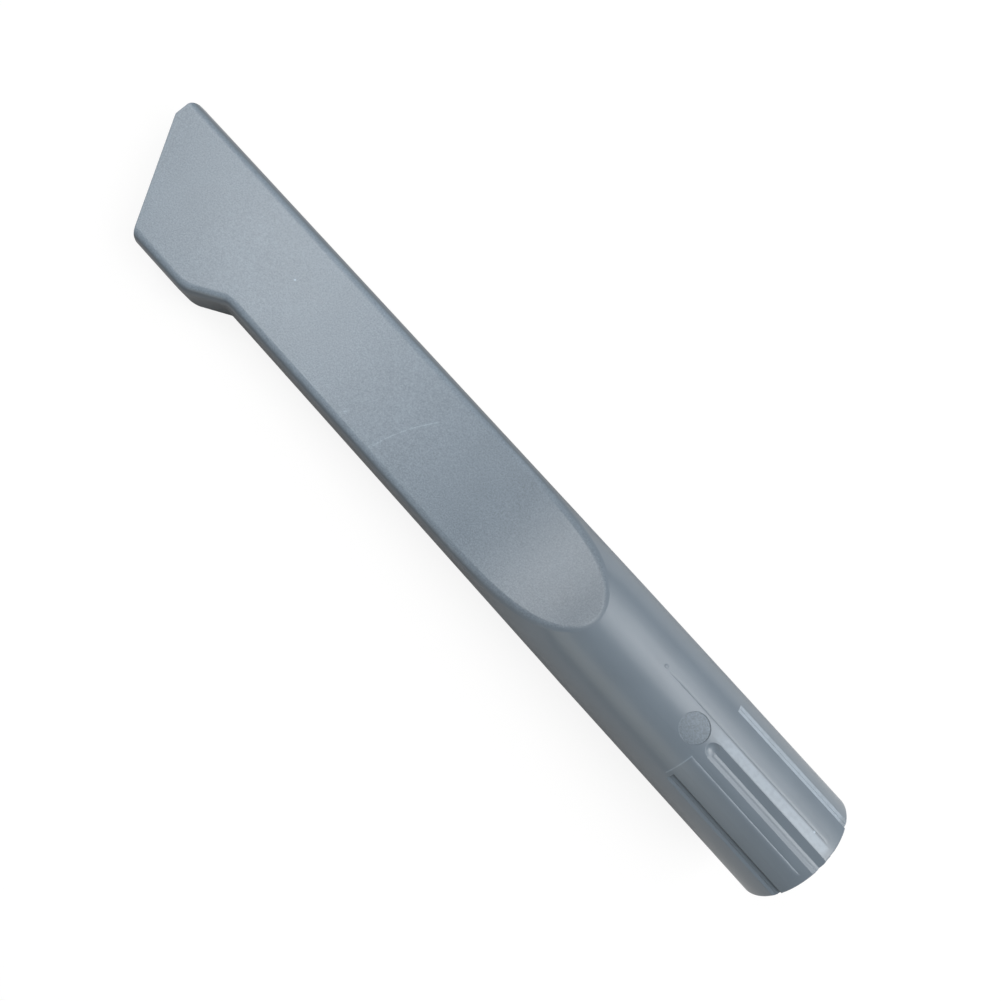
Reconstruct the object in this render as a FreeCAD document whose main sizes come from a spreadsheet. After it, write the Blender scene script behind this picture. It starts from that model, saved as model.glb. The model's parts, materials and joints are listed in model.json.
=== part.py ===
import FreeCAD, Part
import math
import os

import Sketcher

# Vacuum crevice tool: one moulded piece, open right through from a round socket to a flat slot.
# In the tool's own axes X runs from the socket's mouth to the slanted tip, Z is square to the flat
# faces of the blade, and the heel beside the tip stands out on the +Y side. The solid is then laid
# on the ground as the tool comes to rest, with the origin under the middle of its box.

# The driving dimensions: name, millimetres (or degrees where it says so), meaning
SIZES = (
    ("overall_length", 276.0, "socket mouth to the far end of the tip"),
    ("socket_bore", 32.0, "inside diameter of the socket"),
    ("socket_depth", 42.0, "length of the socket's cylindrical wall"),
    ("socket_wall", 2.5, "wall of the neck round the socket"),
    ("stop_ledge", 0.8, "step at the end of the socket that stops the tube"),
    ("mouth_rounding", 0.6, "outer rounding of the socket's mouth"),
    ("taper_start", 78.0, "socket mouth to where the long edges begin to draw in"),
    ("edge_taper", 1.1, "how far each long edge has drawn in at the tip"),
    ("tongue_reach", 86.6, "socket mouth to where the flat face runs out on the neck"),
    ("scoop_exit", 24.5, "slope of the flat face where it runs out, degrees"),
    ("scoop_radius", 90.0, "hollow of the flat face as it rises to the neck"),
    ("root_thickness", 16.6, "blade thickness where the face begins to rise"),
    ("tip_thickness", 14.0, "blade thickness at the tip"),
    ("face_wall", 2.2, "wall of the blade's flat faces"),
    ("edge_rounding", 3.0, "rounding of the flat faces' long edges"),
    ("heel_start", 224.0, "socket mouth to the foot of the heel's ramp"),
    ("heel_height", 6.4, "how far the heel stands out from the blade's edge"),
    ("heel_ramp", 32.0, "slope of the heel's ramp, degrees"),
    ("heel_shoulder", 8.0, "rounding at the top of the ramp"),
    ("heel_crease", 4.0, "rounding in the crease at the foot of the ramp"),
    ("tip_slant", 31.7, "slant of the slot's mouth, degrees off square"),
    ("tip_land", 4.2, "square stretch of the tip before the slant"),
    ("land_corner", 1.5, "rounding between the square stretch and the slant"),
    ("tip_corner", 3.7, "rounding of the tip's long corner"),
    ("toe_corner", 3.0, "rounding of the tip's short corner on the heel"),
    ("groove_length", 43.0, "length of the middle groove in the neck, from the mouth"),
    ("groove_depth", 0.8, "depth of the middle groove below the top of the neck"),
    ("groove_offset", 0.5, "how far the middle groove's bottom lies toward the heel's side"),
    ("groove_slope", 16.0, "slope of the middle groove's plain side, degrees"),
    ("groove_ledge", 0.6, "width of the ledge in the middle groove's stepped side"),
    ("groove_foot", 0.7, "width of the slope below that ledge"),
    ("groove_bank", 21.0, "slope above that ledge, degrees"),
    ("groove_nose", 3.5, "round nose of the middle groove's far end"),
    ("notch_length", 42.1, "length of the side grooves, from the mouth"),
    ("notch_angle", 41.0, "where the side grooves lie round the neck, degrees from the top"),
    ("notch_width", 2.1, "width of a side groove"),
    ("notch_slope", 18.0, "outward fall of a side groove's floor, degrees"),
    ("notch_step", 0.15, "step halfway across a side groove's floor"),
    ("mark_setback", 48.4, "socket mouth to the middle of the round moulding mark"),
    ("mark_diameter", 8.6, "width of the round moulding mark"),
    ("mark_depth", 0.15, "depth of the moulding mark below the neck's skin"),
)

# How far a cutter or an untrimmed end runs past the solid, how far a trim stays off an edge, and how
# far the middle groove's nose dips below its bottom, so that the two never just touch
OVERRUN = 10.0
TRIM_GAP = 0.2
NOSE_DIP = 0.06

# Sizes that follow from the sheet, as expressions
NECK_RADIUS = "(Sizes.socket_bore / 2 + Sizes.socket_wall)"
BORE_RADIUS = "(Sizes.socket_bore / 2)"
DUCT_RADIUS = "(Sizes.socket_bore / 2 - Sizes.stop_ledge)"
TIP_RADIUS = f"({NECK_RADIUS} - Sizes.edge_taper)"
TIP_WALL = f"({TIP_RADIUS} - {DUCT_RADIUS})"
EDGE_SLOPE = "(Sizes.edge_taper / (Sizes.overall_length - Sizes.taper_start))"
LONG_END = f"(Sizes.overall_length + {OVERRUN})"
LONG_END_RADIUS = f"({TIP_RADIUS} - {EDGE_SLOPE} * {OVERRUN})"
BLADE_EDGE = f"({NECK_RADIUS} - {EDGE_SLOPE} * (Sizes.heel_start - Sizes.taper_start))"
HEEL_EDGE = f"({BLADE_EDGE} + Sizes.heel_height)"
HEEL_ROOT = f"({NECK_RADIUS} / 2)"
RAMP_RISE = "tan(Sizes.heel_ramp * 1 deg)"
RAMP_MITRE = "tan(Sizes.heel_ramp * 0.5 deg)"
EXIT_RISE = "tan(Sizes.scoop_exit * 1 deg)"
EXIT_MITRE = "tan(Sizes.scoop_exit * 0.5 deg)"
ROOT_HALF = "(Sizes.root_thickness / 2)"
TIP_HALF = "(Sizes.tip_thickness / 2)"
FACE_BEND = f"(Sizes.tongue_reach + ({NECK_RADIUS} - {ROOT_HALF}) / {EXIT_RISE})"
FACE_SLOPE = f"(({ROOT_HALF} - {TIP_HALF}) / (Sizes.overall_length - {FACE_BEND}))"
LAND_END = f"({TIP_RADIUS} - Sizes.tip_corner - Sizes.tip_land)"
TOE = f"(Sizes.overall_length - ({HEEL_EDGE} + {LAND_END}) * tan(Sizes.tip_slant * 1 deg))"
GROOVE_BOTTOM = f"({NECK_RADIUS} - Sizes.groove_depth)"
GROOVE_NOSE_REACH = "sqrt(2 * Sizes.groove_nose * Sizes.groove_depth - Sizes.groove_depth ^ 2)"
GROOVE_END = f"(Sizes.groove_length - {GROOVE_NOSE_REACH})"
GROOVE_SIDE = "tan(Sizes.groove_slope * 1 deg)"
GROOVE_LEDGE = f"({GROOVE_BOTTOM} + Sizes.groove_foot * {GROOVE_SIDE})"
GROOVE_BANK = "tan(Sizes.groove_bank * 1 deg)"
NOTCH_WALL = f"({NECK_RADIUS} * sin(Sizes.notch_angle * 1 deg))"
NOTCH_LIP = f"({NOTCH_WALL} + Sizes.notch_width)"
NOTCH_FALL = "tan(Sizes.notch_slope * 1 deg)"
NOTCH_FLOOR = f"(sqrt({NECK_RADIUS} ^ 2 - {NOTCH_LIP} ^ 2) + Sizes.notch_width * {NOTCH_FALL})"


def make_sheet(doc):
    """The sheet of driving dimensions, one aliased cell for each."""
    sheet = doc.addObject("Spreadsheet::Sheet", "Sizes")
    for row, (alias, value, meaning) in enumerate(SIZES, start=1):
        sheet.set(f"A{row}", meaning)
        sheet.set(f"B{row}", str(value))
        sheet.setAlias(f"B{row}", alias)
    doc.recompute()
    return sheet


def origin_plane(body, role):
    """One of the body's own origin planes."""
    return next(plane for plane in body.Origin.OriginFeatures if plane.Role == role)


def bind(sketch, constraint, name, expression):
    """Add a constraint to a sketch and tie its value to an expression."""
    index = sketch.addConstraint(constraint)
    sketch.renameConstraint(index, name)
    sketch.setExpression(f"Constraints.{name}", expression)


def place_point(sketch, geometry, position, name, corner):
    """Hold one point of a sketch at the x and y that the corner's expressions give."""
    origin = (-1, 1)
    for axis, expression in zip("XY", corner):
        if expression == "0":
            own_axis = -2 if axis == "X" else -1
            sketch.addConstraint(Sketcher.Constraint("PointOnObject", geometry, position, own_axis))
        else:
            value = float(sketch.evalExpression(expression))
            constraint = Sketcher.Constraint(f"Distance{axis}", *origin, geometry, position, value)
            bind(sketch, constraint, f"{name}_{axis.lower()}", expression)


def draw_outline(sketch, label, corners):
    """A closed outline through corners (x, y) or, where rounded, (x, y, radius), as expressions."""
    count = len(corners)
    sharp = [FreeCAD.Vector(*(float(sketch.evalExpression(e)) for e in c[:2]), 0) for c in corners]
    arrive, leave, arcs = list(sharp), list(sharp), [None] * count
    for i, corner in enumerate(corners):
        if len(corner) == 2:
            continue
        radius = float(sketch.evalExpression(corner[2]))
        back = (sharp[i - 1] - sharp[i]).normalize()
        ahead = (sharp[(i + 1) % count] - sharp[i]).normalize()
        half = back.getAngle(ahead) / 2
        arrive[i] = sharp[i] + back * (radius / math.tan(half))
        leave[i] = sharp[i] + ahead * (radius / math.tan(half))
        centre = sharp[i] + (back + ahead).normalize() * (radius / math.sin(half))
        left_turn = ahead.cross(back).z > 0
        ends = (arrive[i], leave[i]) if left_turn else (leave[i], arrive[i])
        angles = [math.atan2(p.y - centre.y, p.x - centre.x) for p in ends]
        circle = Part.Circle(centre, FreeCAD.Vector(0, 0, 1), radius)
        arc = sketch.addGeometry(Part.ArcOfCircle(circle, *angles), False)
        arcs[i] = (arc, 1 if left_turn else 2, 2 if left_turn else 1)
    lines = [
        sketch.addGeometry(Part.LineSegment(leave[i], arrive[(i + 1) % count]), False)
        for i in range(count)
    ]
    for i, corner in enumerate(corners):
        before, after, name = lines[i - 1], lines[i], f"{label}_corner{i}"
        if arcs[i] is None:
            sketch.addConstraint(Sketcher.Constraint("Coincident", before, 2, after, 1))
            place_point(sketch, after, 1, name, corner)
            continue
        arc, first, last = arcs[i]
        sketch.addConstraint(Sketcher.Constraint("Tangent", before, 2, arc, first))
        sketch.addConstraint(Sketcher.Constraint("Tangent", arc, last, after, 1))
        radius = float(sketch.evalExpression(corner[2]))
        bind(sketch, Sketcher.Constraint("Radius", arc, radius), f"{name}_radius", corner[2])
        point = sketch.addGeometry(Part.Point(sharp[i]), True)
        for line in (before, after):
            sketch.addConstraint(Sketcher.Constraint("PointOnObject", point, 1, line))
        place_point(sketch, point, 1, name, corner[:2])


def add_sketch(body, name, role, outlines):
    """A sketch on one of the body's origin planes, holding closed outlines by label."""
    sketch = body.newObject("Sketcher::SketchObject", name)
    sketch.AttachmentSupport = [(origin_plane(body, role), "")]
    sketch.MapMode = "FlatFace"
    for label, corners in outlines.items():
        draw_outline(sketch, label, corners)
    return sketch


def add_revolution(body, name, corners):
    """A solid turned about the tool's axis from an outline in the XY plane."""
    sketch = add_sketch(body, f"{name}_profile", "XY_Plane", {"turned": corners})
    turned = body.newObject("PartDesign::Revolution", name)
    turned.Profile = sketch
    turned.ReferenceAxis = (sketch, ["H_Axis"])
    turned.Angle = 360
    return turned


def add_pad(body, name, corners, thickness):
    """A pad of an outline in the XY plane, half its thickness to each side."""
    pad = body.newObject("PartDesign::Pad", name)
    pad.Profile = add_sketch(body, f"{name}_plan", "XY_Plane", {"plan": corners})
    pad.SideType = "Symmetric"
    pad.setExpression("Length", thickness)
    return pad


def add_through_cut(body, name, role, corners):
    """A cut of an outline through everything on both sides of its plane."""
    cut = body.newObject("PartDesign::Pocket", name)
    cut.Profile = add_sketch(body, f"{name}_outline", role, {"cut": corners})
    cut.SideType = "Symmetric"
    cut.Type = "ThroughAll"
    return cut


def add_mirror(body, name, originals):
    """The same cuts on the underside, mirrored in the plane between the flat faces."""
    mirror = body.newObject("PartDesign::Mirrored", name)
    mirror.Originals = originals
    mirror.MirrorPlane = (origin_plane(body, "XY_Plane"), [""])
    body.Tip = mirror
    return mirror


def add_fillet(body, name, base, edges, radius):
    """A rounding of the listed edges of the body so far."""
    fillet = body.newObject("PartDesign::Fillet", name)
    fillet.Base = (base, edges)
    fillet.setExpression("Radius", radius)
    return fillet


def heel_plan(inset):
    """The heel's outline, its ramp and its edge moved inward by a wall."""
    foot_x = f"(Sizes.heel_start + {inset} * {RAMP_MITRE})"
    foot_y = f"({BLADE_EDGE} - {inset})"
    return [
        (f"{foot_x} - ({foot_y} - {HEEL_ROOT}) / {RAMP_RISE}", HEEL_ROOT),
        (LONG_END, HEEL_ROOT),
        (LONG_END, f"{HEEL_EDGE} - {inset}"),
        (f"{foot_x} + Sizes.heel_height / {RAMP_RISE}", f"{HEEL_EDGE} - {inset}",
         f"Sizes.heel_shoulder - {inset}"),
    ]


def face_cut(inset):
    """What lies above the flat face and the scoop that carries it up to the neck, less a wall."""
    bend_x = f"({FACE_BEND} - {inset} * {EXIT_MITRE})"
    bend_z = f"({ROOT_HALF} - {inset})"
    top = f"({NECK_RADIUS} + {OVERRUN})"
    return [
        (bend_x, bend_z, f"Sizes.scoop_radius + {inset}"),
        (LONG_END, f"{bend_z} - {FACE_SLOPE} * ({LONG_END} - {bend_x})"),
        (LONG_END, top),
        (f"{bend_x} - ({top} - {bend_z}) / {EXIT_RISE}", top),
    ]


def tip_trim():
    """What lies outside the slanted tip: its long corner, square land, slant and short corner."""
    upper, far_upper = f"-({TIP_RADIUS} + {TRIM_GAP})", f"-({NECK_RADIUS} + {OVERRUN})"
    lower, far_lower = f"({HEEL_EDGE} + {TRIM_GAP})", f"({HEEL_EDGE} + {OVERRUN})"
    long_side = "(Sizes.overall_length - 2 * Sizes.tip_corner)"
    short_side = f"({TOE} - 4 * Sizes.toe_corner)"
    beyond = f"({LONG_END} + {OVERRUN})"
    return [
        (long_side, far_upper),
        (long_side, upper),
        ("Sizes.overall_length", upper, "Sizes.tip_corner"),
        ("Sizes.overall_length", f"-{LAND_END}", "Sizes.land_corner"),
        (TOE, lower, "Sizes.toe_corner"),
        (short_side, lower),
        (short_side, far_lower),
        (beyond, far_lower),
        (beyond, far_upper),
    ]


def groove_section():
    """The middle groove's section: a plain slope down to its bottom and a stepped slope up again."""
    top = f"({NECK_RADIUS} + 2 * Sizes.groove_depth)"
    foot = "(Sizes.groove_offset + Sizes.groove_foot)"
    ledge = f"({foot} + Sizes.groove_ledge)"
    return [
        ("Sizes.groove_offset", GROOVE_BOTTOM),
        (foot, GROOVE_LEDGE),
        (ledge, GROOVE_LEDGE),
        (f"{ledge} + ({top} - {GROOVE_LEDGE}) / {GROOVE_BANK}", top),
        (f"Sizes.groove_offset - ({top} - {GROOVE_BOTTOM}) / {GROOVE_SIDE}", top),
    ]


def notch_section(side):
    """A side groove's section: an upright wall and a stepped floor that falls outward."""
    middle = f"({NOTCH_WALL} + Sizes.notch_width / 2)"
    middle_floor = f"({NOTCH_FLOOR} - Sizes.notch_width / 2 * {NOTCH_FALL})"
    outside = f"({NOTCH_LIP} + Sizes.notch_width)"
    outside_floor = f"({NOTCH_FLOOR} - 2 * Sizes.notch_width * {NOTCH_FALL})"
    top = f"({NECK_RADIUS} + {OVERRUN})"
    return [
        (f"{side} * {NOTCH_WALL}", f"{NOTCH_FLOOR} + Sizes.notch_step"),
        (f"{side} * {middle}", f"{middle_floor} + Sizes.notch_step"),
        (f"{side} * {middle}", middle_floor),
        (f"{side} * {outside}", outside_floor),
        (f"{side} * {outside}", top),
        (f"{side} * {NOTCH_WALL}", top),
    ]


def is_flat_face(face):
    """True for the blade's flat faces and the scoops that end them."""
    surface = face.Surface
    if isinstance(surface, Part.Plane):
        return abs(surface.Axis.z) > 0.9
    return isinstance(surface, Part.Cylinder) and abs(surface.Axis.y) > 0.9


def is_end_face(face):
    """True for a flat end square to the tool's axis."""
    return isinstance(face.Surface, Part.Plane) and abs(face.Surface.Axis.x) > 0.9


def is_ramp(face):
    """True for the heel's ramp, a plane that stands upright and aslant."""
    surface = face.Surface
    return isinstance(surface, Part.Plane) and min(abs(surface.Axis.x), abs(surface.Axis.y)) > 0.1


def edges_between(shape, on_one_side, on_other_side):
    """The names of the edges that part two kinds of face."""
    found = []
    for number, edge in enumerate(shape.Edges, start=1):
        faces = shape.ancestorsOfType(edge, Part.Face)
        if len(faces) != 2:
            continue
        if any(on_one_side(a) and on_other_side(b) for a, b in (faces, faces[::-1])):
            found.append(f"Edge{number}")
    return found


def add_flat_faces(body, inset):
    """Cut the upper flat face with its scoop, and the lower one by mirroring it."""
    upper = add_through_cut(body, f"{body.Name}_upper_face", "XZ_Plane", face_cut(inset))
    return add_mirror(body, f"{body.Name}_lower_face", [upper])


def add_middle_groove(body):
    """A shallow groove with a round-nosed end, along the top of the neck from the mouth."""
    channel = body.newObject("PartDesign::Pocket", "channel")
    channel.Profile = add_sketch(body, "channel_section", "YZ_Plane", {"channel": groove_section()})
    channel.Reversed = True
    channel.setExpression("Length", GROOVE_END)
    nose = body.newObject("PartDesign::SubtractiveSphere", "channel_end")
    nose.setExpression("Radius", "Sizes.groove_nose")
    nose.setExpression("Placement.Base.x", GROOVE_END)
    nose.setExpression("Placement.Base.y", "Sizes.groove_offset")
    nose.setExpression("Placement.Base.z", f"{GROOVE_BOTTOM} + Sizes.groove_nose - {NOSE_DIP}")
    return [channel, nose]


def add_side_grooves(body):
    """The two stepped grooves beside the middle one, from the mouth."""
    sections = {"near": notch_section(1), "far": notch_section(-1)}
    grooves = body.newObject("PartDesign::Pocket", "side_grooves")
    grooves.Profile = add_sketch(body, "side_groove_sections", "YZ_Plane", sections)
    grooves.Reversed = True
    grooves.setExpression("Length", "Sizes.notch_length")
    return grooves


def build_outside(doc):
    """The tool's outer form as a solid: turned neck and blade, heel, flat faces, tip and grooves."""
    body = doc.addObject("PartDesign::Body", "outside")
    add_revolution(body, "outside_rod", [
        ("0", "0"),
        ("0", f"-{NECK_RADIUS}", "Sizes.mouth_rounding"),
        ("Sizes.taper_start", f"-{NECK_RADIUS}"),
        (LONG_END, f"-{LONG_END_RADIUS}"),
        (LONG_END, "0"),
    ])
    add_pad(body, "outside_heel", heel_plan("0"), f"2 * {NECK_RADIUS}")
    faces = add_flat_faces(body, "0")
    doc.recompute()

    creases = edges_between(faces.Shape, is_ramp, lambda f: isinstance(f.Surface, Part.Cone))
    crease = add_fillet(body, "heel_crease", faces, creases, "Sizes.heel_crease")
    doc.recompute()
    long_edges = edges_between(
        crease.Shape, is_flat_face, lambda f: not is_flat_face(f) and not is_end_face(f))
    add_fillet(body, "long_edges", crease, long_edges, "Sizes.edge_rounding")
    add_through_cut(body, "tip", "XY_Plane", tip_trim())
    doc.recompute()

    grooves = add_middle_groove(body) + [add_side_grooves(body)]
    add_mirror(body, "lower_grooves", grooves)
    doc.recompute()
    return body


def build_duct(doc):
    """The space inside: the socket, its stop, and the passage that flattens to the slot."""
    body = doc.addObject("PartDesign::Body", "duct")
    add_revolution(body, "duct_rod", [
        (f"-{OVERRUN}", "0"),
        (f"-{OVERRUN}", f"-{BORE_RADIUS}"),
        ("Sizes.socket_depth", f"-{BORE_RADIUS}"),
        ("Sizes.socket_depth", f"-{DUCT_RADIUS}"),
        (LONG_END, f"-{DUCT_RADIUS}"),
        (LONG_END, "0"),
    ])
    add_pad(body, "duct_heel", heel_plan(TIP_WALL), f"2 * {DUCT_RADIUS}")
    add_flat_faces(body, "Sizes.face_wall")
    doc.recompute()
    return body


def add_cylinder(doc, name, radius, height, start, turn):
    """A plain cylinder from a start point, its sizes and start given as expressions."""
    cylinder = doc.addObject("Part::Cylinder", name)
    cylinder.Placement = FreeCAD.Placement(FreeCAD.Vector(), turn)
    cylinder.setExpression("Radius", radius)
    cylinder.setExpression("Height", height)
    for axis, expression in start.items():
        cylinder.setExpression(f"Placement.Base.{axis}", expression)
    return cylinder


def add_cut(doc, name, base, cutter):
    """One solid less another."""
    cut = doc.addObject("Part::Cut", name)
    cut.Label = name
    cut.Base = base
    cut.Tool = cutter
    doc.recompute()
    return cut


def build_moulding_mark(doc):
    """What the mould's round mark takes off the top of the neck: a disc with a hollow underside."""
    along = FreeCAD.Rotation(FreeCAD.Vector(0, 0, 1), FreeCAD.Vector(1, 0, 0))
    disc = add_cylinder(doc, "mark_disc", "Sizes.mark_diameter / 2", f"2 * {NECK_RADIUS}",
                        {"x": "Sizes.mark_setback"}, FreeCAD.Rotation())
    core = add_cylinder(doc, "mark_core", f"{NECK_RADIUS} - Sizes.mark_depth",
                        "Sizes.mark_setback + Sizes.mark_diameter", {}, along)
    return add_cut(doc, "moulding_mark", disc, core)


def resting_rotation(tool):
    """The turn that lays the slant's lower edge and the neck's underside on the ground."""
    value = {name: float(tool.evalExpression(expression)) for name, expression in {
        "length": "Sizes.overall_length", "tip": TIP_HALF, "land": LAND_END, "toe": TOE,
        "heel": HEEL_EDGE, "slope": FACE_SLOPE, "radius": NECK_RADIUS, "reach": "Sizes.tongue_reach",
    }.items()}
    rise = value["slope"] * (value["length"] - value["toe"])
    land = FreeCAD.Vector(value["length"], -value["land"], -value["tip"])
    toe = FreeCAD.Vector(value["toe"], value["heel"], -value["tip"] - rise)
    neck = FreeCAD.Vector(value["reach"], 0, 0)
    along = (toe - land).normalize()
    upright = FreeCAD.Vector(0, 0, 1)
    square = (upright - along * upright.dot(along)).normalize()
    level = along.cross(square)

    def ground(angle):
        return square * math.cos(angle) + level * math.sin(angle)

    def clearance(angle):
        up = ground(angle)
        return up.dot(neck - land) - value["radius"] * math.sqrt(1 - up.x ** 2)

    low, high = -math.pi / 4, math.pi / 4
    if clearance(low) > clearance(high):
        low, high = high, low
    for _ in range(60):
        middle = (low + high) / 2
        if clearance(middle) < 0:
            low = middle
        else:
            high = middle
    up = ground(low)
    ahead = (FreeCAD.Vector(1, 0, 0) - up * up.x).normalize()
    return FreeCAD.Rotation(ahead, up.cross(ahead), up, "ZXY").inverted()


def lay_down(tool):
    """Place the tool at rest on the ground, with the origin under the middle of its box."""
    turn = resting_rotation(tool)
    tool.Placement = FreeCAD.Placement(FreeCAD.Vector(), turn)
    box = tool.Shape.optimalBoundingBox(False, False)
    tool.Placement = FreeCAD.Placement(FreeCAD.Vector(-box.Center.x, -box.Center.y, -box.ZMin), turn)


def check(doc):
    """Stop if any object failed, or if a body or a cut isn't one valid solid."""
    failed = [o.Name for o in doc.Objects if {"Invalid", "Error"} & set(o.State)]
    if failed:
        raise RuntimeError("failed objects: " + ", ".join(failed))
    for body in doc.findObjects("PartDesign::Body") + doc.findObjects("Part::Cut"):
        if body.Shape.isNull() or not body.Shape.isValid() or len(body.Shape.Solids) != 1:
            raise RuntimeError(f"{body.Label} is not one valid solid")


def main():
    doc = FreeCAD.newDocument("crevice_tool")
    make_sheet(doc)
    shell = add_cut(doc, "shell", build_outside(doc), build_duct(doc))
    tool = add_cut(doc, "crevice_tool", shell, build_moulding_mark(doc))
    lay_down(tool)
    doc.recompute()
    check(doc)
    os.makedirs("parts", exist_ok=True)
    tool.Shape.exportStep(f"parts/{tool.Label}.step")
    box = tool.Shape.optimalBoundingBox(False, False)
    print(f"{tool.Label}: {box.XLength:.2f} x {box.YLength:.2f} x {box.ZLength:.2f} mm")
    print(f"volume {tool.Shape.Volume / 1000:.2f} cm3, centre {tool.Shape.Solids[0].CenterOfMass}")


main()
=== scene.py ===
"""Looks of a moulded vacuum crevice tool: finish, mould lines, ground, light and camera."""

import json
import logging
import math
from dataclasses import dataclass
from enum import Enum

import bpy
from mathutils import Euler, Matrix, Vector


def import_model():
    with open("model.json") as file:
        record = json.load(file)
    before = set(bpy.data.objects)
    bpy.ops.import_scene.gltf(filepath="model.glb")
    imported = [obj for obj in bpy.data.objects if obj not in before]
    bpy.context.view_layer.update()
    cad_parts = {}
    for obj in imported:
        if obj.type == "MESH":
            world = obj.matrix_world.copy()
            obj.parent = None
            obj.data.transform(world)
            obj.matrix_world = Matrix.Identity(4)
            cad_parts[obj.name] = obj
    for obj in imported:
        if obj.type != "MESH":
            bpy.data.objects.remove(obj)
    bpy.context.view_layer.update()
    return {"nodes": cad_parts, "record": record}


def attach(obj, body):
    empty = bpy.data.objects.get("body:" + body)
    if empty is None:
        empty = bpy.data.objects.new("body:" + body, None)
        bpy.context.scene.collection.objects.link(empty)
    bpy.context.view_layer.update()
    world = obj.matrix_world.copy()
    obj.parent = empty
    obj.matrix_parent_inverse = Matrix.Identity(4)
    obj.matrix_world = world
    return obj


LOG = logging.getLogger("crevice_tool")
MM = 0.001
NODE = "crevice_tool"
SLOT = "moulding"
MARK_X = 48.4
MARK_RADIUS = 4.3
PANEL_END = 43.5
SKIN_STEP = 1.2
Colour = tuple[float, float, float]
WARM: Colour = (1.0, 0.95, 0.80)
Socket = bpy.types.NodeSocket


@dataclass(frozen=True)
class ToolAxes:
    """The tool's own axes: X from the socket's mouth to the tip, Y to the heel, Z off the faces.

    Attributes:
        mouth: Centre of the socket's mouth in the row frame, in metres.
        outward: Unit vector out of the socket's mouth in the row frame.
        roll_deg: How far the tool leans to the heel's side as it lies, in degrees.
        neck_mm: Radius of the neck.
    """

    mouth: Vector
    outward: Vector
    roll_deg: float = -1.93435
    neck_mm: float = 18.5

    @classmethod
    def from_record(cls, record: dict) -> "ToolAxes":
        """Read the axes from the socket that the record states.

        Args:
            record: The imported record.

        Returns:
            The tool's axes in the row frame.
        """
        socket = next(m for m in record["mounts"] if m["name"] == "socket")
        outward = Vector(socket["axis"]).normalized()
        half = socket["dims"]["length_mm"] * MM / 2
        return cls(Vector(socket["pos_m"]) + outward * half, outward)

    def turn(self) -> Euler:
        """Return the rotation from tool axes to the row frame."""
        pitch = math.atan2(self.outward.z, -self.outward.x)
        return Euler((math.radians(self.roll_deg), pitch, 0.0), "XYZ")

    def matrix(self) -> Matrix:
        """Return the matrix from tool axes, in metres, to the row frame."""
        return Matrix.Translation(self.mouth) @ self.turn().to_matrix().to_4x4()

    def point(self, x: float, y: float, z: float) -> Vector:
        """Return a point given in tool millimetres, in the row frame."""
        return self.matrix() @ (Vector((x, y, z)) * MM)

    def on_neck(self, x: float, angle_deg: float, rise: float) -> Vector:
        """Return a point by the neck's skin, in the row frame.

        Args:
            x: Distance from the mouth, in millimetres.
            angle_deg: Angle round the neck from its top toward the heel's side.
            rise: Height over the neck's skin, in millimetres.

        Returns:
            The point in metres.
        """
        angle, radius = math.radians(angle_deg), self.neck_mm + rise
        return self.point(x, radius * math.sin(angle), radius * math.cos(angle))


@dataclass(frozen=True)
class PhotoCamera:
    """A close, slightly wide camera above the tool.

    Attributes:
        focal_px: Focal length in pixels of the square picture.
        picture_px: Side of the picture in pixels.
        distance: Camera to target, in tool millimetres.
        lean_x_deg: Lean of the line of sight toward the socket, in degrees.
        lean_y_deg: Lean of the line of sight toward the heel's side, in degrees.
        target_x: Target along the tool, in millimetres.
        target_y: Target across the tool, in millimetres.
        heading_deg: Fall of the tool toward its socket in the picture, in degrees.
    """

    focal_px: float = 780.0
    picture_px: float = 1001.0
    distance: float = 228.11
    lean_x_deg: float = 2.592
    lean_y_deg: float = 5.556
    target_x: float = 128.3
    target_y: float = -4.258
    heading_deg: float = 47.715

    def build(self, axes: ToolAxes) -> bpy.types.Object:
        """Add the camera to the scene and make it the scene's own.

        Args:
            axes: The tool's axes.

        Returns:
            The camera object.
        """
        lean_x, lean_y = math.radians(self.lean_x_deg), math.radians(self.lean_y_deg)
        back = Vector((-math.sin(lean_x), math.sin(lean_y) * math.cos(lean_x),
                       math.cos(lean_x) * math.cos(lean_y)))
        mouthward = Vector((-1.0, 0.0, 0.0))
        mouthward = (mouthward - back * mouthward.dot(back)).normalized()
        heading = math.radians(self.heading_deg)
        right = mouthward * math.cos(heading) + back.cross(mouthward) * math.sin(heading)
        up = back.cross(right)
        place = Vector((self.target_x, self.target_y, 0.0)) + back * self.distance
        local = Matrix((right, up, back)).transposed().to_4x4()
        local.translation = place * MM

        data = bpy.data.cameras.new("photo_camera")
        data.sensor_width = 36.0
        data.lens = 36.0 * self.focal_px / self.picture_px
        data.clip_start = 0.01
        camera = bpy.data.objects.new("photo_camera", data)
        bpy.context.scene.collection.objects.link(camera)
        camera.matrix_world = axes.matrix() @ local
        bpy.context.scene.camera = camera
        return camera


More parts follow.
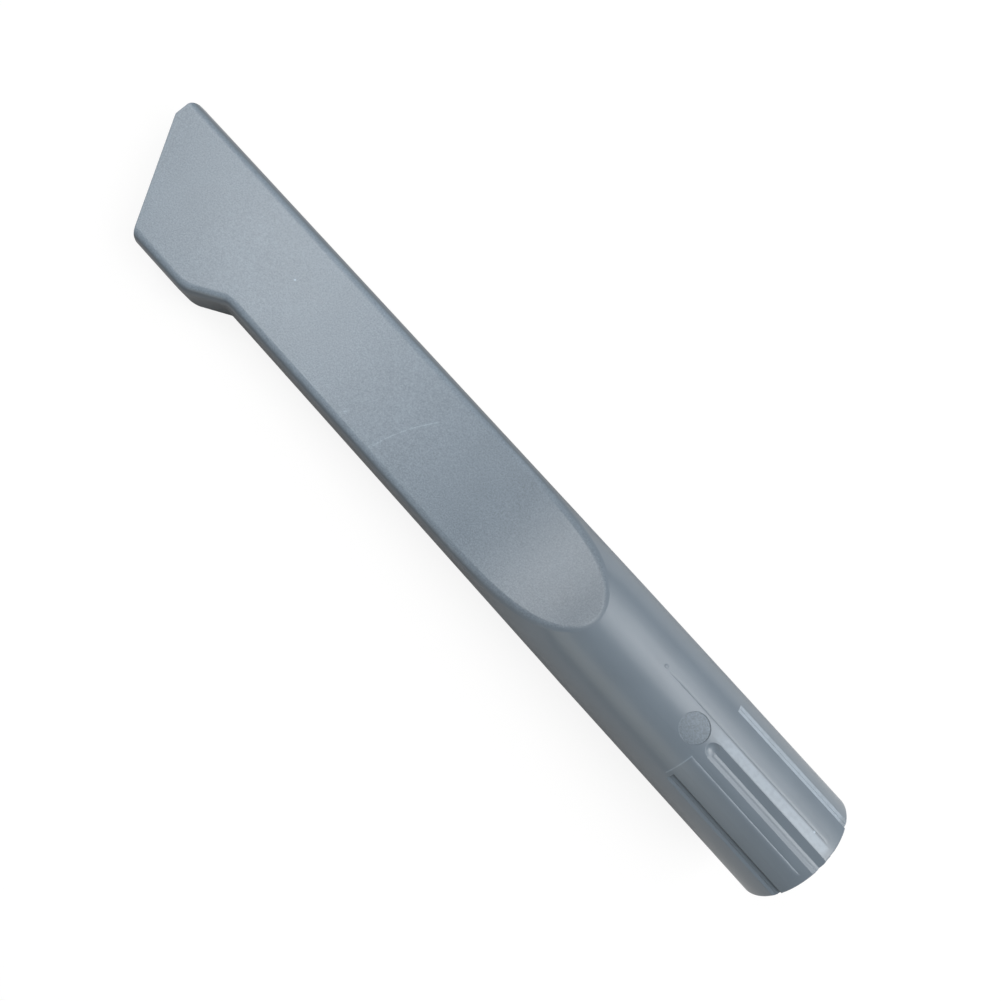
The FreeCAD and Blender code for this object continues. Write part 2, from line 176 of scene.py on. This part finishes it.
class Graph:
    """Adds shader nodes to a tree and hands back their output sockets."""

    def __init__(self, tree: bpy.types.NodeTree) -> None:
        """Keep the tree that nodes are added to."""
        self.tree = tree

    def node(self, kind: str, **settings: object) -> bpy.types.Node:
        """Add a node.

        Args:
            kind: Blender's name for the node's type.
            settings: Properties of the node to set.

        Returns:
            The node.
        """
        node = self.tree.nodes.new(kind)
        for name, value in settings.items():
            setattr(node, name, value)
        return node

    def feed(self, target: Socket, value: object) -> None:
        """Link a socket into an input, or set the input to a plain value."""
        if isinstance(value, bpy.types.NodeSocket):
            self.tree.links.new(value, target)
        else:
            target.default_value = value

    def math(self, operation: str, *values: object) -> Socket:
        """Return the result of a maths node on sockets or numbers."""
        node = self.node("ShaderNodeMath", operation=operation)
        for target, value in zip(node.inputs, values):
            self.feed(target, value)
        return node.outputs[0]

    def product(self, first: object, *others: object) -> Socket:
        """Return the product of sockets or numbers."""
        for other in others:
            first = self.math("MULTIPLY", first, other)
        return first

    def dot(self, vector: Socket, direction: Vector) -> Socket:
        """Return the dot product of a vector with a fixed direction."""
        node = self.node("ShaderNodeVectorMath", operation="DOT_PRODUCT")
        self.feed(node.inputs[0], vector)
        node.inputs[1].default_value = direction
        return node.outputs["Value"]

    def span(self, value: Socket, low: float, high: float, start: float = 0.0,
             end: float = 1.0) -> Socket:
        """Return a value that eases from start to end between low and high.

        Args:
            value: The driving value.
            low: Where the change starts.
            high: Where the change ends.
            start: Result at and before low.
            end: Result at and beyond high.

        Returns:
            The eased value.
        """
        node = self.node("ShaderNodeMapRange", interpolation_type="SMOOTHSTEP")
        for name, number in (("From Min", low), ("From Max", high), ("To Min", start), ("To Max", end)):
            node.inputs[name].default_value = number
        self.feed(node.inputs["Value"], value)
        return node.outputs["Result"]

    def noise(self, vector: Socket, per_mm: float, detail: float = 2.0, rough: float = 0.5) -> Socket:
        """Return noise with that many waves to the millimetre, about 0.5 on average."""
        node = self.node("ShaderNodeTexNoise")
        self.feed(node.inputs["Vector"], vector)
        node.inputs["Scale"].default_value = per_mm
        node.inputs["Detail"].default_value = detail
        node.inputs["Roughness"].default_value = rough
        return node.outputs["Fac"]


@dataclass(frozen=True)
class ToolPlace:
    """The shaded point in the tool's own axes, as sockets in millimetres.

    Attributes:
        vector: The whole point.
        x: Distance from the mouth.
        y: Distance toward the heel's side.
        radius: Distance from the tool's middle line.
        above: 1 on the upper half of the tool.
    """

    vector: Socket
    x: Socket
    y: Socket
    radius: Socket
    above: Socket

    @classmethod
    def shaded(cls, graph: Graph, axes: ToolAxes) -> "ToolPlace":
        """Work out the shaded point.

        Args:
            graph: The material's graph.
            axes: The tool's axes.

        Returns:
            The point.
        """
        mapping = graph.node("ShaderNodeMapping", vector_type="TEXTURE")
        mapping.inputs["Location"].default_value = axes.mouth
        mapping.inputs["Rotation"].default_value = axes.turn()
        mapping.inputs["Scale"].default_value = (MM, MM, MM)
        graph.feed(mapping.inputs["Vector"], graph.node("ShaderNodeTexCoord").outputs["Object"])
        vector = mapping.outputs["Vector"]
        split = graph.node("ShaderNodeSeparateXYZ")
        graph.feed(split.inputs[0], vector)
        x, y, z = split.outputs
        squares = graph.math("ADD", graph.math("POWER", y, 2.0), graph.math("POWER", z, 2.0))
        return cls(vector, x, y, graph.math("SQRT", squares), graph.math("GREATER_THAN", z, 0.0))

    def spot(self, graph: Graph, x: float, y: float, outer: float, inner: float) -> Socket:
        """Return 1 on a round spot on the tool's upper side.

        Args:
            graph: The material's graph.
            x: Middle of the spot along the tool.
            y: Middle of the spot across the tool.
            outer: Squared distance from the middle at which the spot has ended.
            inner: Squared distance from the middle up to which it is full.

        Returns:
            1 in the spot, 0 elsewhere.
        """
        far = graph.math("ADD", graph.math("POWER", graph.math("SUBTRACT", self.x, x), 2.0),
                         graph.math("POWER", graph.math("SUBTRACT", self.y, y), 2.0))
        return graph.product(graph.span(far, outer, inner), self.above)


@dataclass(frozen=True)
class Scratch:
    """A fine pale scratch across the blade, x = start + slope y + bend y².

    Attributes:
        start: Distance along the tool where the scratch crosses the middle, in millimetres.
        slope: Lean of the scratch.
        bend: Curve of the scratch, per millimetre.
        low_y: Lower end across the tool, in millimetres.
        high_y: Upper end across the tool, in millimetres.
    """

    start: float
    slope: float
    bend: float
    low_y: float
    high_y: float


@dataclass(frozen=True)
class PlasticFinish:
    """Grey moulded plastic, spark-eroded on the faces and smoother on the neck and edges.

    Attributes:
        colour: Base colour of the grained faces, linear.
        neck_tone: Base colour of the smoother neck, as a share of the faces'.
        edge_painted_shade: Base colour of the blade's rounded edges, as a share of the faces', darkened
            as painted shade where the sides turn away from the lights.
        tip_painted_light: How much the blade's faces are painted paler toward the tip as light, with
            half as much painted shade toward their root.
        strip_highlight: How much paler the strips beside the upper grooves are painted, as a highlight.
        face_roughness: Roughness of the grained faces.
        neck_roughness: Roughness of the neck and the rounded edges.
        mark_roughness: Roughness of the round moulding mark.
        roughness_spread: How far the roughness varies either way.
        ior: Refractive index.
        grain_per_mm: Waves of the grain to the millimetre.
        grain_um: Depth of the grain on the faces, in micrometres.
        fleck: Strength of the grain's pale and dark flecks.
        edge_mm: Softness of the sharp edges, in millimetres.
        clouding: Strength of the broad variation in tone.
        scratches: Fine scratches on the upper face.
        specks: Pale specks on the upper side, by x and y in millimetres.
    """

    colour: Colour = (0.190, 0.236, 0.284)
    neck_tone: float = 0.865
    edge_painted_shade: float = 0.56
    tip_painted_light: float = 0.15
    strip_highlight: float = 0.4
    face_roughness: float = 0.31
    neck_roughness: float = 0.315
    mark_roughness: float = 0.6
    roughness_spread: float = 0.025
    ior: float = 1.6
    grain_per_mm: float = 2.1
    grain_um: float = 40.0
    fleck: float = 1.1
    edge_mm: float = 0.25
    clouding: float = 0.08
    scratches: tuple[Scratch, ...] = (
        Scratch(159.3, 0.50, -0.0125, -6.5, 13.9),
        Scratch(169.2, 0.58, 0.0, 10.4, 13.4),
    )
    specks: tuple[tuple[float, float], ...] = ((214.8, -2.5), (7.4, -5.0))

    def build(self, axes: ToolAxes) -> bpy.types.Material:
        """Return the finish as a material.

        Args:
            axes: The tool's axes, which the finish is laid out in.

        Returns:
            The material.
        """
        material = bpy.data.materials.new(SLOT)
        material.use_nodes = True
        graph = Graph(material.node_tree)
        shader = material.node_tree.nodes["Principled BSDF"]
        place = ToolPlace.shaded(graph, axes)
        faces = self._face_mask(graph, axes, place)
        disc = place.spot(graph, MARK_X, 0.0, MARK_RADIUS ** 2 + 0.4, MARK_RADIUS ** 2 - 0.4)
        grained = graph.math("MAXIMUM", faces, disc)
        grain = graph.noise(place.vector, self.grain_per_mm, 3.0, 0.65)
        # The second factor paints shade on the blade's edges and highlights on the neck's strips and
        # toward the tip.
        tone = graph.product(self._tone(graph, place, grain, grained),
                             self._finish_and_painted_light(graph, axes, place, faces))

        mix = graph.node("ShaderNodeMix", data_type="RGBA", blend_type="MULTIPLY")
        mix.inputs["Factor"].default_value = 1.0
        mix.inputs["A"].default_value = (*self.colour, 1.0)
        graph.feed(mix.inputs["B"], tone)
        graph.feed(shader.inputs["Base Color"], mix.outputs["Result"])

        shader.inputs["IOR"].default_value = self.ior
        patches = graph.noise(place.vector, 0.16, 3.0)
        spread = graph.math("MULTIPLY_ADD", patches, 2 * self.roughness_spread, -self.roughness_spread)
        rough = graph.span(faces, 0.0, 1.0, self.neck_roughness, self.face_roughness)
        rough = graph.math("MAXIMUM", graph.math("ADD", rough, spread),
                           graph.product(disc, self.mark_roughness))
        graph.feed(shader.inputs["Roughness"], rough)

        bump = graph.node("ShaderNodeBump")
        bump.inputs["Distance"].default_value = self.grain_um * MM * MM
        graph.feed(bump.inputs["Strength"], grained)
        graph.feed(bump.inputs["Height"], grain)
        soft = graph.node("ShaderNodeBevel", samples=4)
        soft.inputs["Radius"].default_value = self.edge_mm * MM
        graph.feed(bump.inputs["Normal"], soft.outputs["Normal"])
        graph.feed(shader.inputs["Normal"], bump.outputs["Normal"])
        return material

    @staticmethod
    def _face_mask(graph: Graph, axes: ToolAxes, place: ToolPlace) -> Socket:
        """Return 1 on the flat faces and the dished run-ins, 0 on the neck and the edges."""
        normal = graph.node("ShaderNodeNewGeometry").outputs["Normal"]
        facing = graph.math("ABSOLUTE", graph.dot(normal, axes.turn().to_matrix() @ Vector((0, 0, 1))))
        dished = graph.product(graph.span(place.radius, axes.neck_mm - 0.08, axes.neck_mm - 0.35),
                               graph.span(place.x, 56.0, 62.0))
        flat = graph.math("MAXIMUM", dished, graph.span(place.x, 124.0, 130.0))
        return graph.product(flat, graph.span(facing, 0.68, 0.94))

    def _finish_and_painted_light(self, graph: Graph, axes: ToolAxes, place: ToolPlace, faces: Socket) -> Socket:
        """Return the factor on the base colour: neck finish, with painted shade on the edges and
        painted light on the strips and tip.

        Args:
            graph: The material's graph.
            axes: The tool's axes.
            place: The shaded point.
            faces: 1 on the flat faces.

        Returns:
            A factor of about 1.
        """
        # Neck tone toward the mouth; toward the tip the blade's rounded edges are painted darker as
        # shade.
        neck_tone_edge_shade = graph.span(place.x, 95.0, 125.0, self.neck_tone, self.edge_painted_shade)
        # The strips on the neck are painted paler as highlights.
        neck = graph.math("MULTIPLY_ADD", self._highlight_strips(graph, axes, place), self.strip_highlight, neck_tone_edge_shade)
        # Painted light along the faces: darker toward the dished run-in, paler toward the tip.
        blade = graph.span(place.x, 90.0, 190.0, 1.0 - self.tip_painted_light / 2, 1.0 + self.tip_painted_light)
        mix = graph.node("ShaderNodeMix", data_type="FLOAT")
        graph.feed(mix.inputs["Factor"], faces)
        graph.feed(mix.inputs["A"], neck)
        graph.feed(mix.inputs["B"], blade)
        return mix.outputs["Result"]

    @staticmethod
    def _highlight_strips(graph: Graph, axes: ToolAxes, place: ToolPlace) -> Socket:
        """Return 1 on the strips painted paler as highlights: middle ridge, upper side groove's floor,
        panel's end.

        Args:
            graph: The material's graph.
            axes: The tool's axes.
            place: The shaded point.

        Returns:
            A value from 0 to 1.
        """
        x, y, neck = place.x, place.y, axes.neck_mm
        ridge = graph.product(graph.span(y, -5.0, -4.6), graph.span(y, -1.9, -2.4),
                              graph.span(place.radius, neck - 0.25, neck - 0.1),
                              graph.span(x, 48.0, 36.0))
        floor = graph.product(graph.span(y, -14.6, -14.2), graph.span(y, -12.0, -12.2),
                              graph.span(place.radius, neck - 0.03, neck - 0.1),
                              graph.span(x, 42.6, 42.0))
        strips = graph.product(graph.math("MAXIMUM", ridge, floor), graph.span(x, 1.2, 2.6))
        off = graph.math("ABSOLUTE", graph.math("SUBTRACT", x, PANEL_END))
        seam = graph.product(graph.span(off, 0.26, 0.1), graph.span(y, 5.2, 5.6),
                             graph.span(y, 13.6, 13.2))
        patches = graph.span(graph.noise(place.vector, 0.7, 3.0), 0.25, 0.6, 0.6, 1.0)
        return graph.product(graph.math("MAXIMUM", strips, seam), place.above, patches)

    def _tone(self, graph: Graph, place: ToolPlace, grain: Socket, grained: Socket) -> Socket:
        """Return the factor on the base colour: clouds, grain, scratches and specks.

        Args:
            graph: The material's graph.
            place: The shaded point.
            grain: The grain's height.
            grained: 1 on the grained faces.

        Returns:
            A factor of about 1.
        """
        cloud = graph.noise(place.vector, 0.08, 3.0)
        tone = graph.math("MULTIPLY_ADD", cloud, 2 * self.clouding, 1.0 - self.clouding)
        fleck = graph.math("MULTIPLY_ADD", grain, self.fleck, -self.fleck / 2)
        tone = graph.math("ADD", tone, graph.product(fleck, grained))
        y = place.y
        for scratch in self.scratches:
            bent = graph.math("MULTIPLY_ADD", y, scratch.bend, scratch.slope)
            line = graph.math("MULTIPLY_ADD", y, bent, scratch.start)
            off = graph.math("ABSOLUTE", graph.math("SUBTRACT", place.x, line))
            mark = graph.product(graph.span(off, 0.32, 0.08),
                                 graph.span(y, scratch.low_y, scratch.low_y + 1.5),
                                 graph.span(y, scratch.high_y, scratch.high_y - 1.5),
                                 graph.span(graph.noise(place.vector, 0.9), 0.3, 0.6, 0.3, 1.0),
                                 grained, place.above)
            tone = graph.math("MULTIPLY_ADD", mark, 0.3, tone)
        for x, across in self.specks:
            tone = graph.math("MULTIPLY_ADD", place.spot(graph, x, across, 0.16, 0.03), 0.8, tone)
        return tone


class Edge(Enum):
    """How a raised skin meets the neck along one of its sides."""

    STEP = 0.16
    SLOPE = 0.34
    FADE = 6.0


@dataclass(frozen=True)
class RaisedSkin:
    """A thin raised skin on the neck, which a mould insert leaves.

    Attributes:
        name: Name of the piece.
        x_range: From and to along the tool, in millimetres.
        angle_range: From and to round the neck, in degrees.
        low_side: Edge along the lower angle.
        high_side: Edge along the higher angle.
        far_end: Edge at the end away from the mouth.
        rise: Height over the neck, in millimetres.
        dip: How far its rim dips below the neck, in millimetres.
        sunk: How far its base lies below the neck, in millimetres.
    """

    name: str
    x_range: tuple[float, float]
    angle_range: tuple[float, float]
    low_side: Edge
    high_side: Edge
    far_end: Edge
    rise: float = 0.09
    dip: float = 0.08
    sunk: float = 0.3

    def build(self, axes: ToolAxes, material: bpy.types.Material) -> bpy.types.Object:
        """Add the skin as a closed shell that dips into the neck all round.

        Args:
            axes: The tool's axes.
            material: The finish.

        Returns:
            The piece.
        """
        per_degree = math.radians(1.0) * axes.neck_mm
        low, high = self.angle_range
        near_end = Edge.FADE.value / 3
        along = self._stations(self.x_range, near_end, self.far_end.value, 1.0)
        across = self._stations(self.angle_range, self.low_side.value / per_degree,
                                self.high_side.value / per_degree, per_degree)
        verts, rows, columns = [], len(along), len(across)
        for base in (False, True):
            for x in along:
                for angle in across:
                    share = min(1.0, (angle - low) * per_degree / self.low_side.value,
                                (high - angle) * per_degree / self.high_side.value,
                                (x - self.x_range[0]) / near_end,
                                (self.x_range[1] - x) / self.far_end.value)
                    rise = -self.sunk if base else share * (self.rise + self.dip) - self.dip
                    verts.append(axes.on_neck(x, angle, rise))
        faces = []
        for top in (0, rows * columns):
            for i in range(rows - 1):
                for j in range(columns - 1):
                    a = top + i * columns + j
                    quad = (a, a + 1, a + columns + 1, a + columns)
                    faces.append(quad if top else quad[::-1])
        rim = list(range(columns)) + [i * columns + columns - 1 for i in range(1, rows)]
        rim += [(rows - 1) * columns + j for j in range(columns - 2, -1, -1)]
        rim += [i * columns for i in range(rows - 2, 0, -1)]
        for a, b in zip(rim, rim[1:] + rim[:1]):
            faces.append((a, b, b + rows * columns, a + rows * columns))
        return add_piece(self.name, verts, faces, material)

    @staticmethod
    def _stations(limits: tuple[float, float], first: float, last: float,
                  scale: float) -> list[float]:
        """Return the places between two limits, closer together in the edges.

        Args:
            limits: From and to.
            first: Width of the first edge.
            last: Width of the last edge.
            scale: Millimetres to one unit of the limits.

        Returns:
            Ascending places.
        """
        start, end = limits
        middle = end - start - first - last
        steps = max(2, round(middle * scale / SKIN_STEP))
        inner = [start + first + middle * k / steps for k in range(steps + 1)]
        return [start, start + first / 2] + inner + [end - last / 2, end]


@dataclass(frozen=True)
class SmallDome:
    """A low round dot on the neck.

    Attributes:
        name: Name of the piece.
        x: Distance from the mouth, in millimetres.
        angle_deg: Angle round the neck.
        radius: Radius in millimetres.
        rise: Height over the neck, in millimetres.
    """

    name: str
    x: float
    angle_deg: float
    radius: float
    rise: float

    def build(self, axes: ToolAxes, material: bpy.types.Material) -> bpy.types.Object:
        """Add the dot as a closed low dome.

        Args:
            axes: The tool's axes.
            material: The finish.

        Returns:
            The piece.
        """
        rings, spokes = 4, 20
        per_degree = math.radians(1.0) * axes.neck_mm
        verts = [axes.on_neck(self.x, self.angle_deg, self.rise)]
        for ring in range(1, rings + 1):
            share = ring / rings
            height = self.rise * (1 - share ** 2) - 0.1 * share ** 4
            for spoke in range(spokes):
                turn = math.tau * spoke / spokes
                reach = self.radius * share
                verts.append(axes.on_neck(self.x + reach * math.cos(turn),
                                          self.angle_deg + reach * math.sin(turn) / per_degree, height))
        verts.append(axes.on_neck(self.x, self.angle_deg, -0.3))
        faces = [(0, 1 + k, 1 + (k + 1) % spokes) for k in range(spokes)]
        for ring in range(rings - 1):
            for k in range(spokes):
                a, b = 1 + ring * spokes + k, 1 + ring * spokes + (k + 1) % spokes
                faces.append((a, a + spokes, b + spokes, b))
        last = 1 + (rings - 1) * spokes
        faces += [(len(verts) - 1, last + (k + 1) % spokes, last + k) for k in range(spokes)]
        return add_piece(self.name, verts, faces, material)


def add_piece(name: str, verts: list[Vector], faces: list[tuple[int, ...]],
              material: bpy.types.Material) -> bpy.types.Object:
    """Add a piece that rides with the tool.

    Args:
        name: Name of the piece.
        verts: Points in the row frame.
        faces: Corner numbers of each face.
        material: The finish.

    Returns:
        The piece.
    """
    mesh = bpy.data.meshes.new(name)
    mesh.from_pydata([tuple(v) for v in verts], [], faces)
    mesh.validate()
    mesh.polygons.foreach_set("use_smooth", [True] * len(mesh.polygons))
    mesh.materials.append(material)
    piece = bpy.data.objects.new(name, mesh)
    bpy.context.scene.collection.objects.link(piece)
    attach(piece, "root")
    return piece


@dataclass(frozen=True)
class SoftLight:
    """One soft round light that faces the tool.

    Attributes:
        name: Name of the light.
        azimuth_deg: Direction round the row's +Z, 0 along +X, in degrees.
        polar_deg: Angle off the row's +Z, in degrees.
        watts: Power.
        colour: Colour of the light.
        distance_m: Distance from the tool.
        size_m: Width of the light.
    """

    name: str
    azimuth_deg: float
    polar_deg: float
    watts: float
    colour: Colour = (1.0, 1.0, 1.0)
    distance_m: float = 1.5
    size_m: float = 0.8

    def build(self, target: Vector) -> bpy.types.Object:
        """Add the light to the scene.

        Args:
            target: The point it faces.

        Returns:
            The light object.
        """
        azimuth, polar = math.radians(self.azimuth_deg), math.radians(self.polar_deg)
        direction = Vector((math.sin(polar) * math.cos(azimuth), math.sin(polar) * math.sin(azimuth),
                            math.cos(polar)))
        data = bpy.data.lights.new(self.name, "AREA")
        data.shape = "DISK"
        data.size = self.size_m
        data.energy = self.watts
        data.color = self.colour
        light = bpy.data.objects.new(self.name, data)
        bpy.context.scene.collection.objects.link(light)
        light.location = target + direction * self.distance_m
        light.rotation_euler = direction.to_track_quat("Z", "Y").to_euler()
        return light


@dataclass(frozen=True)
class Studio:
    """White ground, soft lights and a plain surround.

    Attributes:
        ground_m: Side of the ground.
        ground_grey: Grey of the ground as the lights see it.
        ground_glow: Added white where the ground is looked at or mirrored.
        ambient: Strength of the surround as a light.
        mirrored: Strength of the surround where it is mirrored.
        shade_m: How far the tool's shade reaches in the mirrored ground.
        shade_depth: Power that deepens that shade.
        lights: The lights.
    """

    ground_m: float = 12.0
    ground_grey: float = 0.12
    ground_glow: float = 0.89
    ambient: float = 0.12
    mirrored: float = 0.2
    shade_m: float = 0.08
    shade_depth: float = 4.0
    lights: tuple[SoftLight, ...] = (
        SoftLight("over_socket", 202.5, 42.0, 9.1),
        SoftLight("over_tip", 337.5, 42.0, 4.0),
        SoftLight("overhead_socket", 240.0, 22.0, 4.0),
        SoftLight("beside_socket", 247.5, 42.0, 4.4),
        SoftLight("overhead_tip", 0.0, 29.0, 3.6, size_m=0.6),
        SoftLight("low_socket", 216.0, 60.0, 1.2, WARM),
        SoftLight("low_side", 252.0, 60.0, 1.8),
        SoftLight("beside_heel", 102.0, 64.0, 2.0, WARM),
    )

    def build(self, target: Vector) -> None:
        """Add the ground, the lights and the surround.

        Args:
            target: The point that the lights face.
        """
        self._ground()
        self._surround()
        for light in self.lights:
            light.build(target)

    def _looked_at(self, graph: Graph) -> Socket:
        """Return 1 for rays that look at the ground, with the tool's shade in mirrored ones."""
        path = graph.node("ShaderNodeLightPath").outputs
        shade = graph.node("ShaderNodeAmbientOcclusion", samples=4)
        shade.inputs["Distance"].default_value = self.shade_m
        deepened = graph.math("POWER", shade.outputs["AO"], self.shade_depth)
        mirrored = graph.product(path["Is Glossy Ray"], deepened)
        seen = graph.math("MAXIMUM", path["Is Camera Ray"], mirrored)
        return graph.math("MAXIMUM", seen, path["Is Transmission Ray"])

    def _ground(self) -> None:
        """Add the ground as a large plain square at height zero."""
        half = self.ground_m / 2
        mesh = bpy.data.meshes.new("ground")
        corners = [(-half, -half, 0), (half, -half, 0), (half, half, 0), (-half, half, 0)]
        mesh.from_pydata(corners, [], [(0, 1, 2, 3)])
        ground = bpy.data.objects.new("ground", mesh)
        bpy.context.scene.collection.objects.link(ground)
        material = bpy.data.materials.new("ground")
        material.use_nodes = True
        graph = Graph(material.node_tree)
        shader = material.node_tree.nodes["Principled BSDF"]
        shader.inputs["Base Color"].default_value = (*(self.ground_grey,) * 3, 1.0)
        shader.inputs["Roughness"].default_value = 1.0
        shader.inputs["Specular IOR Level"].default_value = 0.0
        shader.inputs["Emission Color"].default_value = (1.0, 1.0, 1.0, 1.0)
        glow = graph.math("MULTIPLY", self._looked_at(graph), self.ground_glow)
        graph.feed(shader.inputs["Emission Strength"], glow)
        mesh.materials.append(material)

    def _surround(self) -> None:
        """Light the scene faintly from all round, and show white where the surround is looked at."""
        world = bpy.data.worlds.new("surround")
        world.use_nodes = True
        bpy.context.scene.world = world
        graph = Graph(world.node_tree)
        path = graph.node("ShaderNodeLightPath").outputs
        mirrored = graph.math("MULTIPLY", path["Is Glossy Ray"], self.mirrored)
        seen = graph.math("MAXIMUM", path["Is Camera Ray"], path["Is Transmission Ray"])
        strength = graph.math("MAXIMUM", graph.math("MAXIMUM", seen, mirrored), self.ambient)
        background = world.node_tree.nodes["Background"]
        background.inputs["Color"].default_value = (1.0, 1.0, 1.0, 1.0)
        graph.feed(background.inputs["Strength"], strength)


def main() -> None:
    """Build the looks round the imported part."""
    logging.basicConfig(level=logging.INFO)
    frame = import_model()
    axes = ToolAxes.from_record(frame["record"])
    finish = PlasticFinish().build(axes)
    tool = frame["nodes"][NODE]
    tool.data.materials.clear()
    tool.data.materials.append(finish)

    skins = (
        RaisedSkin("mould_panel", (1.5, PANEL_END + 0.1), (17.2, 40.5), Edge.STEP, Edge.FADE,
                   Edge.SLOPE),
        RaisedSkin("mould_seam", (1.5, 66.0), (-40.5, -15.8), Edge.FADE, Edge.STEP, Edge.FADE, 0.03),
    )
    for skin in skins:
        skin.build(axes, finish)
    SmallDome("gate_dot", 65.0, -17.8, 0.75, 0.07).build(axes, finish)

    PhotoCamera().build(axes)
    Studio().build(axes.point(138.0, 0.0, 0.0))

    bpy.context.scene.view_settings.view_transform = "Standard"


if __name__ == "__main__":
    main()
